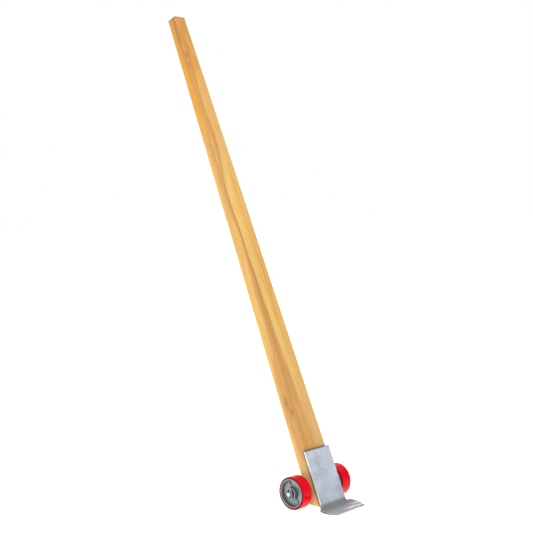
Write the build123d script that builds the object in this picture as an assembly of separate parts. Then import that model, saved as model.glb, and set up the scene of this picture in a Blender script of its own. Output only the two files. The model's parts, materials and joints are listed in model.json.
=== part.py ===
"""Wood-handled pry lever bar: a long tapered handle, a bent steel nose plate and two wheels.

Row frame: millimetres, +Z up. The origin is the middle of the nose plate's flat underside,
where it rests on the floor. The nose points along -Y, the handle leans back towards +Y, and
the axle lies along X.

Parts that belong to the handle are laid out in the handle frame: x across the handle, depth
behind the handle's front face, and height along the handle from the plate's heel.
"""
from build123d import *
import math
import os

# ------------------------------------------------------------------ driving dimensions
HANDLE_LEAN = 67.7              # degrees, handle above the floor
HANDLE_LENGTH = 2134.0          # a 7 ft stick, along its front face
HANDLE_BASE_WIDTH = 137.0
HANDLE_TOP_WIDTH = 58.0
HANDLE_BASE_THICKNESS = 54.0
HANDLE_TOP_THICKNESS = 47.0
FULL_THICKNESS_HEIGHT = 260.0   # the stock keeps its full thickness up to here
HANDLE_EDGE_RADIUS = 5.0
HANDLE_END_RADIUS = 3.5

PLATE_THICKNESS = 10.0
LEG_WIDTH = 144.0
LEG_HEIGHT = 229.0              # heel to top edge, along the handle
BEND_INNER_RADIUS = 15.0
PLATE_EDGE_RADIUS = 1.2
NOSE_REACH = 92.3               # heel's sharp corner to the lip
NOSE_EAR_START = 10.0           # heel's sharp corner to the rear edge of the nose's ears
NOSE_FLAT = 4.0                 # full thickness in front of the bend, before the wedge
NOSE_REAR_HALF_WIDTH = 89.0
NOSE_MIDDLE_HALF_WIDTH = 98.0
NOSE_LIP_HALF_WIDTH = 84.0
EAR_CORNER_RADIUS = 8.0
LIP_CORNER_RADIUS = 4.0
EAR_FLARE_RADIUS = 7.0          # inside curve where an ear meets the leg's side
LIP_THICKNESS = 1.5

STUD_RADIUS = 5.0
STUD_HALF_SPACING = 35.0        # studs lie at this x on both sides
UPPER_STUD_HEIGHT = 190.0
SADDLE_STUD_OFFSET = 38.0       # above and below the axle
STUD_HOLE_CLEARANCE = 0.5
STUD_END_CHAMFER = 1.0

WHEEL_RADIUS = 63.5             # 5 in wheel
WHEEL_WIDTH = 51.0              # 2 in wide
WHEEL_CENTRE_X = 117.0
TREAD_THICKNESS = 7.75
TREAD_EDGE_RADIUS = 3.0
CORE_HALF_WIDTH = 25.4

AXLE_DEPTH = 58.0               # axle centre behind the handle's front face
AXLE_BAR = 25.4                 # 1 in square bar
AXLE_BAR_EDGE = 1.2
AXLE_RADIUS = 9.525             # 3/4 in turned ends
SHOULDER_X = 86.0
AXLE_END_X = 158.5
AXLE_END_CHAMFER = 1.5

HUB_HALF_LENGTH = 27.8
HUB_FACE_RADIUS = 22.0
HUB_ROOT_RADIUS = 24.0
HUB_BORE_RADIUS = 15.08         # 1-3/16 in
WEB_HALF_THICKNESS = 8.5
RIM_FACE_INNER_RADIUS = 52.0
RIM_ROOT_INNER_RADIUS = 49.5
CASTING_FILLET = 3.5
RIB_COUNT = 4
RIB_WIDTH = 5.0
RIB_RISE = 4.5
FIRST_RIB_ANGLE = -60.0
RIB_CHAMFER = 1.0
HUB_EDGE_RADIUS = 1.0
RIM_EDGE_RADIUS = 1.0
RETAINER_RADIUS = 18.95
RETAINER_SEAT_RADIUS = 19.0
RETAINER_DEPTH = 2.5
RETAINER_THICKNESS = 2.3
RETAINER_CLEARANCE = 0.4

ROLLER_COUNT = 8
ROLLER_RADIUS = 2.725
ROLLER_ORBIT = (AXLE_RADIUS + HUB_BORE_RADIUS) / 2
ROLLER_LENGTH = 42.0
CAGE_HALF_LENGTH = 24.5
CAGE_WALL = 4.2
CAGE_POCKET_CLEARANCE = 0.3
ROLLER_CHAMFER = 0.4

AXLE_WASHER_RADIUS = 14.3       # 3/4 in machine bushing
AXLE_WASHER_THICKNESS = 3.0
WASHER_BORE_CLEARANCE = 0.3
WASHER_GAP = 0.2                # axial running gap between a washer and the hub
COTTER_GAP = 0.4                # between the outer washer and the cotter's hole
COTTER_WIRE_RADIUS = 1.5
COTTER_HOLE_RADIUS = 1.7
COTTER_LEG_END = 3.5            # straight leg past the axle
COTTER_EYE_RADIUS = 3.9
COTTER_EYE_FLAT = 0.2           # straight run at the top of the eye
COTTER_EYE_TOP = 22.0           # above the axle's centre
COTTER_EYE_FOOT = 16.0
COTTER_NECK = (-2.5, 12.2)      # (y, z) from the axle's centre, where the eye closes
COTTER_HUG_GAP = 0.6            # between the axle and the leg that hugs it
COTTER_HUG_HALF_HEIGHT = 7.5
COTTER_TAIL = [(-7.5, -12.5), (-12.0, -17.0)]
COTTER_TIGHT_BEND = 2.0
COTTER_WIDE_BEND = 10.0

SADDLE_WIDTH = 110.0
SADDLE_PLATE = 6.0
SADDLE_FLANGE = 34.0
SADDLE_BEND_RADIUS = 4.0

NUT_ACROSS_FLATS = 17.0
NUT_THICKNESS = 8.4
NUT_CHAMFER = 0.8
NUT_BORE_CLEARANCE = 0.05
FLAT_WASHER_RADIUS = 10.5
FLAT_WASHER_THICKNESS = 2.0
PLATE_WASHER_RADIUS = 17.0
PLATE_WASHER_THICKNESS = 3.0
LOCK_WASHER_RADIUS = 8.9
LOCK_WASHER_THICKNESS = 2.5
LOCK_WASHER_CLEARANCE = 0.2
LOCK_SPLIT_WIDTH = 1.2
LOCK_SPLIT_TILT = 25.0
STUD_TAIL = 4.0                 # thread left showing past the nut

GREASE_FITTING_X = 18.5         # from the wheel's middle, towards the handle
GREASE_THREAD_RADIUS = 3.0
GREASE_THREAD_CLEARANCE = 0.05
GREASE_HEX_RADIUS = 4.6
GREASE_NECK_RADIUS = 2.2
GREASE_HEAD_RADIUS = 3.2
GREASE_STEP = 3.0               # height of the hexagon, the neck and the head
GREASE_HEAD_CHAMFER = 0.9

# ------------------------------------------------------------------ worked out from those
SIN = math.sin(math.radians(HANDLE_LEAN))
COS = math.cos(math.radians(HANDLE_LEAN))
BEND_OUTER_RADIUS = BEND_INNER_RADIUS + PLATE_THICKNESS
BEND_TANGENT = BEND_OUTER_RADIUS * math.tan(math.radians(HANDLE_LEAN) / 2)
UNDERSIDE_LENGTH = NOSE_REACH - BEND_TANGENT
LIP_Y = -UNDERSIDE_LENGTH / 2
HEEL_Y = LIP_Y + NOSE_REACH
AXLE_HEIGHT = (WHEEL_RADIUS + AXLE_DEPTH * COS) / SIN      # along the handle
AXLE_Y = HEEL_Y + AXLE_DEPTH * SIN + AXLE_HEIGHT * COS
BUTT_Z = PLATE_THICKNESS                                   # the butt is sawn level with the nose
BUTT_HEIGHT = BUTT_Z / SIN                                 # its front corner, along the handle
HANDLE_TOP = BUTT_HEIGHT + HANDLE_LENGTH
CORE_RADIUS = WHEEL_RADIUS - TREAD_THICKNESS
SADDLE_TOP_DEPTH = AXLE_DEPTH + AXLE_BAR / 2
SADDLE_BACK_DEPTH = HANDLE_BASE_THICKNESS + SADDLE_PLATE
SADDLE_STUD_HEIGHTS = (AXLE_HEIGHT - SADDLE_STUD_OFFSET, AXLE_HEIGHT + SADDLE_STUD_OFFSET)
OUTER_WASHER_X = WHEEL_CENTRE_X + HUB_HALF_LENGTH + WASHER_GAP
COTTER_X = OUTER_WASHER_X + AXLE_WASHER_THICKNESS + COTTER_HOLE_RADIUS + COTTER_GAP
STUD_STACK = LOCK_WASHER_THICKNESS + NUT_THICKNESS + STUD_TAIL

HANDLE_FRAME = Plane(origin=(0, HEEL_Y, 0), x_dir=(1, 0, 0), z_dir=(0, COS, SIN))
WHEEL_AXIS = Pos(0, AXLE_Y, WHEEL_RADIUS)
SIDES = {"left": -1, "right": 1}


# ------------------------------------------------------------------ helpers
def along_x(shape):
    """Turn a shape built round Z so that its +Z points along +X."""
    return Rot(0, 90, 0) * shape


def behind(shape):
    """Turn a shape built round Z so that its +Z points out of the handle's back."""
    return Rot(-90, 0, 0) * shape


def ring(outer, inner, thickness):
    """A flat ring round Z that stands on z = 0."""
    grounded = (Align.CENTER, Align.CENTER, Align.MIN)
    return Cylinder(outer, thickness, align=grounded) - Cylinder(inner, thickness, align=grounded)


def rod(radius, length):
    """A round bar along Z that stands on z = 0."""
    return Cylinder(radius, length, align=(Align.CENTER, Align.CENTER, Align.MIN))


def on_handle(x, depth, height):
    """The place of a fastener that points out of the handle's back."""
    return HANDLE_FRAME * Pos(x, depth, height) * Rot(-90, 0, 0)


def stud_places(heights):
    """The (x, height) of each stud in the handle frame."""
    return [(side * STUD_HALF_SPACING, height) for height in heights for side in (-1, 1)]


def prism(points, direction, amount):
    """A straight prism from a flat closed outline of 3-D points."""
    return extrude(make_face(Polyline(*points, close=True)), amount=amount, dir=direction)


def turned(outline):
    """Revolve an outline of (x, radius) points round the X axis."""
    points = [(x, radius, 0) for x, radius in outline]
    return revolve(make_face(Polyline(*points, close=True)), axis=Axis.X)


def circles_at(shape, radius, x):
    """The circular edges of a turned shape at one radius and distance from its middle."""
    def matches(edge):
        return abs(edge.radius - radius) < 0.01 and abs(abs(edge.arc_center.X) - x) < 0.01
    return shape.edges().filter_by(GeomType.CIRCLE).filter_by(matches)


# ------------------------------------------------------------------ handle and nose plate
def wood_handle():
    """The tapered stick, with eased edges, a notch for the axle and holes for the studs."""
    half_base = HANDLE_BASE_WIDTH / 2
    half_top = HANDLE_TOP_WIDTH / 2
    front = [(-half_base, 0, 0), (half_base, 0, 0),
             (half_top, 0, HANDLE_TOP), (-half_top, 0, HANDLE_TOP)]
    side = [(-half_base, 0, 0), (-half_base, 0, HANDLE_TOP),
            (-half_base, HANDLE_TOP_THICKNESS, HANDLE_TOP),
            (-half_base, HANDLE_BASE_THICKNESS, FULL_THICKNESS_HEIGHT),
            (-half_base, HANDLE_BASE_THICKNESS, 0)]
    stick = prism(front, (0, 1, 0), HANDLE_BASE_THICKNESS) & prism(side, (1, 0, 0), HANDLE_BASE_WIDTH)
    long_edges = stick.edges().filter_by(lambda edge: abs(edge.tangent_at(0.5).Z) > 0.9)
    stick = fillet(long_edges, HANDLE_EDGE_RADIUS)
    stick = fillet(stick.faces().sort_by(Axis.Z)[-1].edges(), HANDLE_END_RADIUS)
    notch_depth = HANDLE_BASE_THICKNESS - (AXLE_DEPTH - AXLE_BAR / 2)
    notch = Pos(0, HANDLE_BASE_THICKNESS - notch_depth / 2, AXLE_HEIGHT) * Box(
        HANDLE_BASE_WIDTH, notch_depth, AXLE_BAR)
    stick -= notch
    hole = behind(rod(STUD_RADIUS + STUD_HOLE_CLEARANCE, HANDLE_BASE_THICKNESS))
    for x, height in stud_places((*SADDLE_STUD_HEIGHTS, UPPER_STUD_HEIGHT)):
        stick -= Pos(x, 0, height) * hole
    cut = 2 * HANDLE_BASE_WIDTH
    floor_gap = Pos(0, HEEL_Y, BUTT_Z - cut / 2) * Box(cut, cut, cut)
    return HANDLE_FRAME * stick - floor_gap


def leg_and_bend():
    """The plate's leg up the handle's front, the bend and a stub of the nose."""
    def leg_point(depth, height):
        return (-LEG_WIDTH / 2, HEEL_Y + depth * SIN + height * COS, -depth * COS + height * SIN)
    inner_height = PLATE_THICKNESS * (1 - COS) / SIN
    stub_y = HEEL_Y - BEND_TANGENT - NOSE_FLAT
    outline = [(-LEG_WIDTH / 2, stub_y, 0), leg_point(0, 0), leg_point(0, LEG_HEIGHT),
               leg_point(-PLATE_THICKNESS, LEG_HEIGHT), leg_point(-PLATE_THICKNESS, inner_height),
               (-LEG_WIDTH / 2, stub_y, PLATE_THICKNESS)]
    leg = prism(outline, (1, 0, 0), LEG_WIDTH)
    crosswise = leg.edges().filter_by(Axis.X)
    heel = crosswise.sort_by_distance((0, *leg_point(0, 0)[1:]))[0]
    root = crosswise.sort_by_distance((0, *leg_point(-PLATE_THICKNESS, inner_height)[1:]))[0]
    leg = fillet(heel, BEND_OUTER_RADIUS)
    root = leg.edges().filter_by(Axis.X).sort_by_distance(root.center())[0]
    leg = fillet(root, BEND_INNER_RADIUS)
    side_edges = leg.edges().filter_by(lambda edge: abs(abs(edge.center().X) - LEG_WIDTH / 2) < 0.01)
    top_edges = leg.edges().filter_by(Axis.X).sort_by(Axis.Z)[-2:]
    return fillet(side_edges + top_edges, PLATE_EDGE_RADIUS)


def nose():
    """The flared nose on the floor, which thins to the lip."""
    rear_y = HEEL_Y - NOSE_EAR_START
    middle_y = (rear_y + LIP_Y) / 2
    left_side = ThreePointArc((-NOSE_REAR_HALF_WIDTH, rear_y), (-NOSE_MIDDLE_HALF_WIDTH, middle_y),
                              (-NOSE_LIP_HALF_WIDTH, LIP_Y))
    lip = Line((-NOSE_LIP_HALF_WIDTH, LIP_Y), (NOSE_LIP_HALF_WIDTH, LIP_Y))
    right_side = ThreePointArc((NOSE_LIP_HALF_WIDTH, LIP_Y), (NOSE_MIDDLE_HALF_WIDTH, middle_y),
                               (NOSE_REAR_HALF_WIDTH, rear_y))
    rear = Line((NOSE_REAR_HALF_WIDTH, rear_y), (-NOSE_REAR_HALF_WIDTH, rear_y))
    blade = extrude(make_face([left_side, lip, right_side, rear]), amount=PLATE_THICKNESS)
    corners = blade.edges().filter_by(Axis.Z).sort_by(Axis.Y)
    blade = fillet(corners[:2], LIP_CORNER_RADIUS)
    blade = fillet(blade.edges().filter_by(Axis.Z).sort_by(Axis.Y)[-2:], EAR_CORNER_RADIUS)
    wedge_start = HEEL_Y - BEND_TANGENT - NOSE_FLAT
    past_lip = LIP_Y - PLATE_THICKNESS
    above_wedge = [(-LEG_WIDTH, wedge_start, PLATE_THICKNESS), (-LEG_WIDTH, LIP_Y, LIP_THICKNESS),
                   (-LEG_WIDTH, past_lip, LIP_THICKNESS), (-LEG_WIDTH, past_lip, PLATE_THICKNESS)]
    return blade - prism(above_wedge, (1, 0, 0), 2 * LEG_WIDTH)


def ear_flares():
    """The inside curves where the nose's two ears run into the sides of the leg."""
    radius = EAR_FLARE_RADIUS
    corner = Rectangle(radius, radius, align=(Align.MIN, Align.MIN)) - Pos(radius, radius) * Circle(radius)
    flare = Pos(LEG_WIDTH / 2, HEEL_Y - NOSE_EAR_START) * extrude(corner, amount=PLATE_THICKNESS)
    return flare + mirror(flare, about=Plane.YZ)


def nose_plate():
    """One bent plate: leg, bend and nose."""
    return leg_and_bend() + nose() + ear_flares()


# ------------------------------------------------------------------ axle and its saddle
def axle():
    """A square bar with two turned ends, each with a cotter hole."""
    bar = Box(2 * SHOULDER_X, AXLE_BAR, AXLE_BAR)
    bar = chamfer(bar.edges().filter_by(Axis.X), AXLE_BAR_EDGE)
    bar = WHEEL_AXIS * Rot(HANDLE_LEAN - 90, 0, 0) * bar
    spindle = along_x(Cylinder(AXLE_RADIUS, 2 * AXLE_END_X))
    spindle = chamfer(spindle.edges().filter_by(GeomType.CIRCLE), AXLE_END_CHAMFER)
    whole = bar + WHEEL_AXIS * spindle
    for side in SIDES.values():
        whole -= WHEEL_AXIS * Pos(side * COTTER_X, 0, 0) * Cylinder(COTTER_HOLE_RADIUS, 4 * AXLE_RADIUS)
    return whole


def axle_saddle():
    """A hat-shaped strap that clamps the axle into the handle's notch."""
    half_bar = AXLE_BAR / 2
    wall = half_bar + SADDLE_PLATE
    foot = wall + SADDLE_FLANGE
    wood = HANDLE_BASE_THICKNESS
    lower = [(wood, -foot), (SADDLE_BACK_DEPTH, -foot), (SADDLE_BACK_DEPTH, -wall),
             (SADDLE_TOP_DEPTH + SADDLE_PLATE, -wall)]
    inside = [(SADDLE_TOP_DEPTH, half_bar), (SADDLE_TOP_DEPTH, -half_bar)]
    upper = [(depth, -height) for depth, height in reversed(lower)]
    outline = lower + upper + [(wood, half_bar)] + inside + [(wood, -half_bar)]
    points = [(-SADDLE_WIDTH / 2, depth, AXLE_HEIGHT + height) for depth, height in outline]
    hat = prism(points, (1, 0, 0), SADDLE_WIDTH)

    def outer_bend(edge):
        return abs(abs(edge.center().Z - AXLE_HEIGHT) - wall) < 0.1

    hat = fillet(hat.edges().filter_by(Axis.X).filter_by(outer_bend), SADDLE_BEND_RADIUS)
    hole = behind(rod(STUD_RADIUS + STUD_HOLE_CLEARANCE, SADDLE_PLATE))
    for x, height in stud_places(SADDLE_STUD_HEIGHTS):
        hat -= Pos(x, wood, height) * hole
    return HANDLE_FRAME * hat


def axle_washer(x):
    """A flat washer on the axle, from x towards +X."""
    washer = ring(AXLE_WASHER_RADIUS, AXLE_RADIUS + WASHER_BORE_CLEARANCE, AXLE_WASHER_THICKNESS)
    return WHEEL_AXIS * Pos(x, 0, 0) * along_x(washer)


def cotter_pin(side):
    """A hairpin cotter: a straight leg down through the axle, an eye on top and a leg round it."""
    hug = AXLE_RADIUS + COTTER_WIRE_RADIUS + COTTER_HUG_GAP
    eye_back = 2 * COTTER_EYE_RADIUS + COTTER_EYE_FLAT
    straight_leg = [(0, -AXLE_RADIUS - COTTER_LEG_END)]
    eye = [(0, COTTER_EYE_TOP), (-eye_back, COTTER_EYE_TOP), (-eye_back, COTTER_EYE_FOOT)]
    hugging_leg = [(-hug, COTTER_HUG_HALF_HEIGHT), (-hug, -COTTER_HUG_HALF_HEIGHT)]
    corners = straight_leg + eye + [COTTER_NECK] + hugging_leg + COTTER_TAIL
    bends = 2 * [COTTER_EYE_RADIUS] + 2 * [COTTER_TIGHT_BEND] + 2 * [COTTER_WIDE_BEND] + [COTTER_TIGHT_BEND]
    route = FilletPolyline(*[(0, y, z) for y, z in corners], radius=bends)
    start = Plane(origin=route @ 0, z_dir=route % 0)
    wire = sweep(start * Circle(COTTER_WIRE_RADIUS), path=route)
    return WHEEL_AXIS * Pos(side * COTTER_X, 0, 0) * wire


# ------------------------------------------------------------------ studs, washers and nuts
def studs(heights, stack_depth):
    """Studs welded to the back of the plate, long enough for all that is clamped on them."""
    stud = rod(STUD_RADIUS, stack_depth + STUD_STACK)
    stud = chamfer(stud.edges().filter_by(GeomType.CIRCLE).sort_by(Axis.Z)[-1], STUD_END_CHAMFER)
    return [on_handle(x, 0, height) * stud for x, height in stud_places(heights)]


def nut_stacks():
    """The (x, height, depth) at which each stud's lock washer starts."""
    saddle = SADDLE_BACK_DEPTH + FLAT_WASHER_THICKNESS
    upper = HANDLE_BASE_THICKNESS + PLATE_WASHER_THICKNESS
    return ([(x, height, saddle) for x, height in stud_places(SADDLE_STUD_HEIGHTS)]
            + [(x, height, upper) for x, height in stud_places((UPPER_STUD_HEIGHT,))])


def saddle_washers():
    """Flat washers under the four saddle nuts."""
    washer = ring(FLAT_WASHER_RADIUS, STUD_RADIUS + WASHER_BORE_CLEARANCE, FLAT_WASHER_THICKNESS)
    return [on_handle(x, SADDLE_BACK_DEPTH, height) * washer
            for x, height in stud_places(SADDLE_STUD_HEIGHTS)]


def plate_washers():
    """Wide washers that bear on the wood under the two upper nuts."""
    washer = ring(PLATE_WASHER_RADIUS, STUD_RADIUS + WASHER_BORE_CLEARANCE, PLATE_WASHER_THICKNESS)
    return [on_handle(x, HANDLE_BASE_THICKNESS, height) * washer
            for x, height in stud_places((UPPER_STUD_HEIGHT,))]


def lock_washers():
    """Split spring washers, one under each nut."""
    washer = ring(LOCK_WASHER_RADIUS, STUD_RADIUS + LOCK_WASHER_CLEARANCE, LOCK_WASHER_THICKNESS)
    saw = Rot(0, LOCK_SPLIT_TILT, 0) * Box(LOCK_SPLIT_WIDTH, LOCK_WASHER_RADIUS, LOCK_WASHER_RADIUS)
    washer -= Pos(0, LOCK_WASHER_RADIUS * 0.75, LOCK_WASHER_THICKNESS / 2) * saw
    return [on_handle(x, depth, height) * washer for x, height, depth in nut_stacks()]


def stud_nuts():
    """Hexagon nuts with chamfered corners."""
    corner_radius = NUT_ACROSS_FLATS / math.sqrt(3)
    hexagon = extrude(RegularPolygon(corner_radius, 6), amount=NUT_THICKNESS)
    blank = rod(corner_radius, NUT_THICKNESS)
    blank = chamfer(blank.edges().filter_by(GeomType.CIRCLE), NUT_CHAMFER)
    nut = (hexagon & blank) - rod(STUD_RADIUS + NUT_BORE_CLEARANCE, NUT_THICKNESS)
    return [on_handle(x, depth + LOCK_WASHER_THICKNESS, height) * nut
            for x, height, depth in nut_stacks()]


# ------------------------------------------------------------------ wheels, built round their middle
def wheel_tread():
    """The moulded tyre bonded round the core."""
    half = WHEEL_WIDTH / 2
    tread = turned([(-half, CORE_RADIUS), (half, CORE_RADIUS),
                    (half, WHEEL_RADIUS), (-half, WHEEL_RADIUS)])
    return fillet(circles_at(tread, WHEEL_RADIUS, half), TREAD_EDGE_RADIUS)


def core_outline():
    """The casting's section: hub, web and rim, as (x, radius) points."""
    right = [(HUB_HALF_LENGTH - RETAINER_DEPTH, HUB_BORE_RADIUS),
             (HUB_HALF_LENGTH - RETAINER_DEPTH, RETAINER_SEAT_RADIUS),
             (HUB_HALF_LENGTH, RETAINER_SEAT_RADIUS),
             (HUB_HALF_LENGTH, HUB_FACE_RADIUS),
             (WEB_HALF_THICKNESS, HUB_ROOT_RADIUS),
             (WEB_HALF_THICKNESS, RIM_ROOT_INNER_RADIUS),
             (CORE_HALF_WIDTH, RIM_FACE_INNER_RADIUS),
             (CORE_HALF_WIDTH, CORE_RADIUS)]
    left = [(-x, radius) for x, radius in reversed(right)]
    return right + left


def wheel_core():
    """Cast wheel core: hub, web with low ribs on both faces, and rim."""
    core = turned(core_outline())
    for radius in (HUB_ROOT_RADIUS, RIM_ROOT_INNER_RADIUS):
        core = fillet(circles_at(core, radius, WEB_HALF_THICKNESS), CASTING_FILLET)
    core = fillet(circles_at(core, HUB_FACE_RADIUS, HUB_HALF_LENGTH), HUB_EDGE_RADIUS)
    core = fillet(circles_at(core, RIM_FACE_INNER_RADIUS, CORE_HALF_WIDTH), RIM_EDGE_RADIUS)
    rib_length = RIM_ROOT_INNER_RADIUS - HUB_FACE_RADIUS
    rib = Box(2 * (WEB_HALF_THICKNESS + RIB_RISE), rib_length, RIB_WIDTH)
    rib = chamfer(rib.edges().filter_by(Axis.Y), RIB_CHAMFER)
    rib = Pos(0, -(HUB_FACE_RADIUS + rib_length / 2), 0) * rib
    for turn in range(RIB_COUNT):
        core += Rot(-FIRST_RIB_ANGLE + turn * 360 / RIB_COUNT, 0, 0) * rib
    return core


def hub_retainer(side):
    """The pressed ring that closes the hub at one end."""
    seat = side * (HUB_HALF_LENGTH - RETAINER_DEPTH / 2)
    washer = ring(RETAINER_RADIUS, AXLE_RADIUS + RETAINER_CLEARANCE, RETAINER_THICKNESS)
    return Pos(seat - RETAINER_THICKNESS / 2, 0, 0) * along_x(washer)


def grease_fitting():
    """A grease nipple that stands on the hub: thread, hexagon and ball end."""
    thread_foot = HUB_BORE_RADIUS + 1
    hexagon_foot = HUB_ROOT_RADIUS
    thread = Pos(0, 0, thread_foot) * rod(GREASE_THREAD_RADIUS, hexagon_foot - thread_foot)
    hexagon = Pos(0, 0, hexagon_foot) * extrude(RegularPolygon(GREASE_HEX_RADIUS, 6), amount=GREASE_STEP)
    neck = Pos(0, 0, hexagon_foot + GREASE_STEP) * rod(GREASE_NECK_RADIUS, GREASE_STEP)
    head = rod(GREASE_HEAD_RADIUS, GREASE_STEP)
    head = chamfer(head.edges().filter_by(GeomType.CIRCLE), GREASE_HEAD_CHAMFER)
    return thread + hexagon + neck + Pos(0, 0, hexagon_foot + 2 * GREASE_STEP) * head


def bearing_cage():
    """The sleeve that spaces the rollers round the axle."""
    half_wall = CAGE_WALL / 2
    cage = Cylinder(ROLLER_ORBIT + half_wall, 2 * CAGE_HALF_LENGTH)
    cage -= Cylinder(ROLLER_ORBIT - half_wall, 2 * CAGE_HALF_LENGTH)
    pocket = Cylinder(ROLLER_RADIUS + CAGE_POCKET_CLEARANCE, ROLLER_LENGTH + 2 * CAGE_POCKET_CLEARANCE)
    for place in PolarLocations(ROLLER_ORBIT, ROLLER_COUNT):
        cage -= place * pocket
    return along_x(cage)


def bearing_rollers():
    """The rollers, side by side round the axle."""
    roller = Cylinder(ROLLER_RADIUS, ROLLER_LENGTH)
    roller = chamfer(roller.edges().filter_by(GeomType.CIRCLE), ROLLER_CHAMFER)
    return [along_x(place * roller) for place in PolarLocations(ROLLER_ORBIT, ROLLER_COUNT)]


def wheel_parts(name, side):
    """Every piece of one wheel, in its place. side is -1 at the left and 1 at the right."""
    place = WHEEL_AXIS * Pos(side * WHEEL_CENTRE_X, 0, 0)
    fitting_place = Pos(-side * GREASE_FITTING_X, 0, 0)
    hole_radius = GREASE_THREAD_RADIUS + GREASE_THREAD_CLEARANCE
    thread_hole = fitting_place * rod(hole_radius, HUB_ROOT_RADIUS + 1)
    return {
        f"{name}_wheel_tread": [place * wheel_tread()],
        f"{name}_wheel_core": [place * (wheel_core() - thread_hole)],
        f"{name}_outer_hub_retainer": [place * hub_retainer(side)],
        f"{name}_inner_hub_retainer": [place * hub_retainer(-side)],
        f"{name}_grease_fitting": [place * fitting_place * grease_fitting()],
        f"{name}_bearing_cage": [place * bearing_cage()],
        f"{name}_bearing_rollers": [place * roller for roller in bearing_rollers()],
    }


def axle_end_parts(name, side):
    """The washers and the cotter pin at one end of the axle."""
    inner = side * (SHOULDER_X + AXLE_WASHER_THICKNESS / 2)
    outer = side * (OUTER_WASHER_X + AXLE_WASHER_THICKNESS / 2)
    return {
        f"{name}_inner_axle_washer": [axle_washer(inner - AXLE_WASHER_THICKNESS / 2)],
        f"{name}_outer_axle_washer": [axle_washer(outer - AXLE_WASHER_THICKNESS / 2)],
        f"{name}_cotter_pin": [cotter_pin(side)],
    }


# ------------------------------------------------------------------ assembly and export
def assembly():
    """Every node's name and its solids."""
    nodes = {
        "wood_handle": [wood_handle()],
        "nose_plate": [nose_plate()],
        "axle_saddle": [axle_saddle()],
        "axle": [axle()],
        "saddle_studs": studs(SADDLE_STUD_HEIGHTS, SADDLE_BACK_DEPTH + FLAT_WASHER_THICKNESS),
        "upper_studs": studs((UPPER_STUD_HEIGHT,), HANDLE_BASE_THICKNESS + PLATE_WASHER_THICKNESS),
        "saddle_washers": saddle_washers(),
        "upper_plate_washers": plate_washers(),
        "lock_washers": lock_washers(),
        "stud_nuts": stud_nuts(),
    }
    for name, side in SIDES.items():
        nodes.update(axle_end_parts(name, side))
        nodes.update(wheel_parts(name, side))
    return nodes


os.makedirs("parts", exist_ok=True)
for node, solids in assembly().items():
    export_step(Compound(label=node, children=solids), f"parts/{node}.step")
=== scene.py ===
"""Looks for the wood-handled pry lever bar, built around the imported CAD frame.

Everything is in metres in the CAD frame: the nose points along -Y, the handle leans back
towards +Y, the axle lies along X and the floor is at z = 0.
"""
import bpy
import bmesh
import json
import math
from mathutils import Euler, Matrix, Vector


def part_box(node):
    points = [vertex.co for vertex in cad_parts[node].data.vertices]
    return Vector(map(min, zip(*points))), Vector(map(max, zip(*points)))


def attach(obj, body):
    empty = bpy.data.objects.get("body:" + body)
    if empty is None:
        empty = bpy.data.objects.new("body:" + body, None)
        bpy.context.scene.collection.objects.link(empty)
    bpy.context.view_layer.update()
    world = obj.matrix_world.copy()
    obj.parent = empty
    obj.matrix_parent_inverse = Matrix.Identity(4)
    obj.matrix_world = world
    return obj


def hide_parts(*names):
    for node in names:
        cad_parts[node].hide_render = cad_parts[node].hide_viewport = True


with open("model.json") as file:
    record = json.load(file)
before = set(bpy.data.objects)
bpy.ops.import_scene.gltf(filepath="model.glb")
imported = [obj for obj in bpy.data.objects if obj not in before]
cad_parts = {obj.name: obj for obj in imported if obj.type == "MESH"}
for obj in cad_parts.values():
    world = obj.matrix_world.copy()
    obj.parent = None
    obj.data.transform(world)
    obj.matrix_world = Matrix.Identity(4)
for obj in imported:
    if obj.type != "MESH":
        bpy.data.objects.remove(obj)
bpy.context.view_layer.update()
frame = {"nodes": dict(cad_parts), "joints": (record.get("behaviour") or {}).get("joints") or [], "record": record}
nodes = frame["nodes"]

# ------------------------------------------------------------------ places read from the frame
HANDLE_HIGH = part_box("wood_handle")[1]
PLATE_LOW, PLATE_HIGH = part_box("nose_plate")
TREAD_LOW, TREAD_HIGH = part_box("right_wheel_tread")
CORE_LOW, CORE_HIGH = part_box("right_wheel_core")
GRIP = next(m for m in frame["record"]["mounts"] if m["name"] == "hand_grip")
HANDLE_AXIS = Vector(GRIP["axis"]).normalized()
LEAN = math.atan2(HANDLE_AXIS.z, HANDLE_AXIS.y)
AXLE = Vector(frame["joints"][0]["pos_m"])
WHEEL_X = (TREAD_LOW.x + TREAD_HIGH.x) / 2
TREAD_HALF_WIDTH = (TREAD_HIGH.x - TREAD_LOW.x) / 2
CORE_RADIUS = (CORE_HIGH.z - CORE_LOW.z) / 2

# Sizes that the frame's boxes don't give, as they are in the CAD.
RIM_WALL_RADIUS = CORE_RADIUS - 0.0062
HUB_WALL_RADIUS = 0.0240
AXLE_FACE_RADIUS = 0.0080       # the flat end of the axle, inside its chamfer
PLATE_THICKNESS = 0.010
PLATE_HALF_WIDTH = 0.072
HALF_WIDTH_LOW = HANDLE_HIGH.x  # half the handle's width at the heel
HALF_WIDTH_HIGH = 0.029         # and at its top end

# The handle frame: x across, y from the front face to the back, z up along the handle. Its
# origin is the plate's heel, where the leg's back face would meet the floor.
LEG_TOP_Z = PLATE_HIGH.z - PLATE_THICKNESS * math.cos(LEAN)
HEEL_Y = PLATE_HIGH.y - LEG_TOP_Z * math.cos(LEAN) / math.sin(LEAN)
LEG_HEIGHT = LEG_TOP_Z / math.sin(LEAN)
NOSE_MIDDLE_Y = (PLATE_LOW.y + HEEL_Y) / 2
OUT_OF_BACK = Vector((0, math.sin(LEAN), -math.cos(LEAN)))
HANDLE_TURN = Euler((LEAN - math.pi / 2, 0, 0))
HANDLE_TOP = HANDLE_HIGH.z / math.sin(LEAN)


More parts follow.
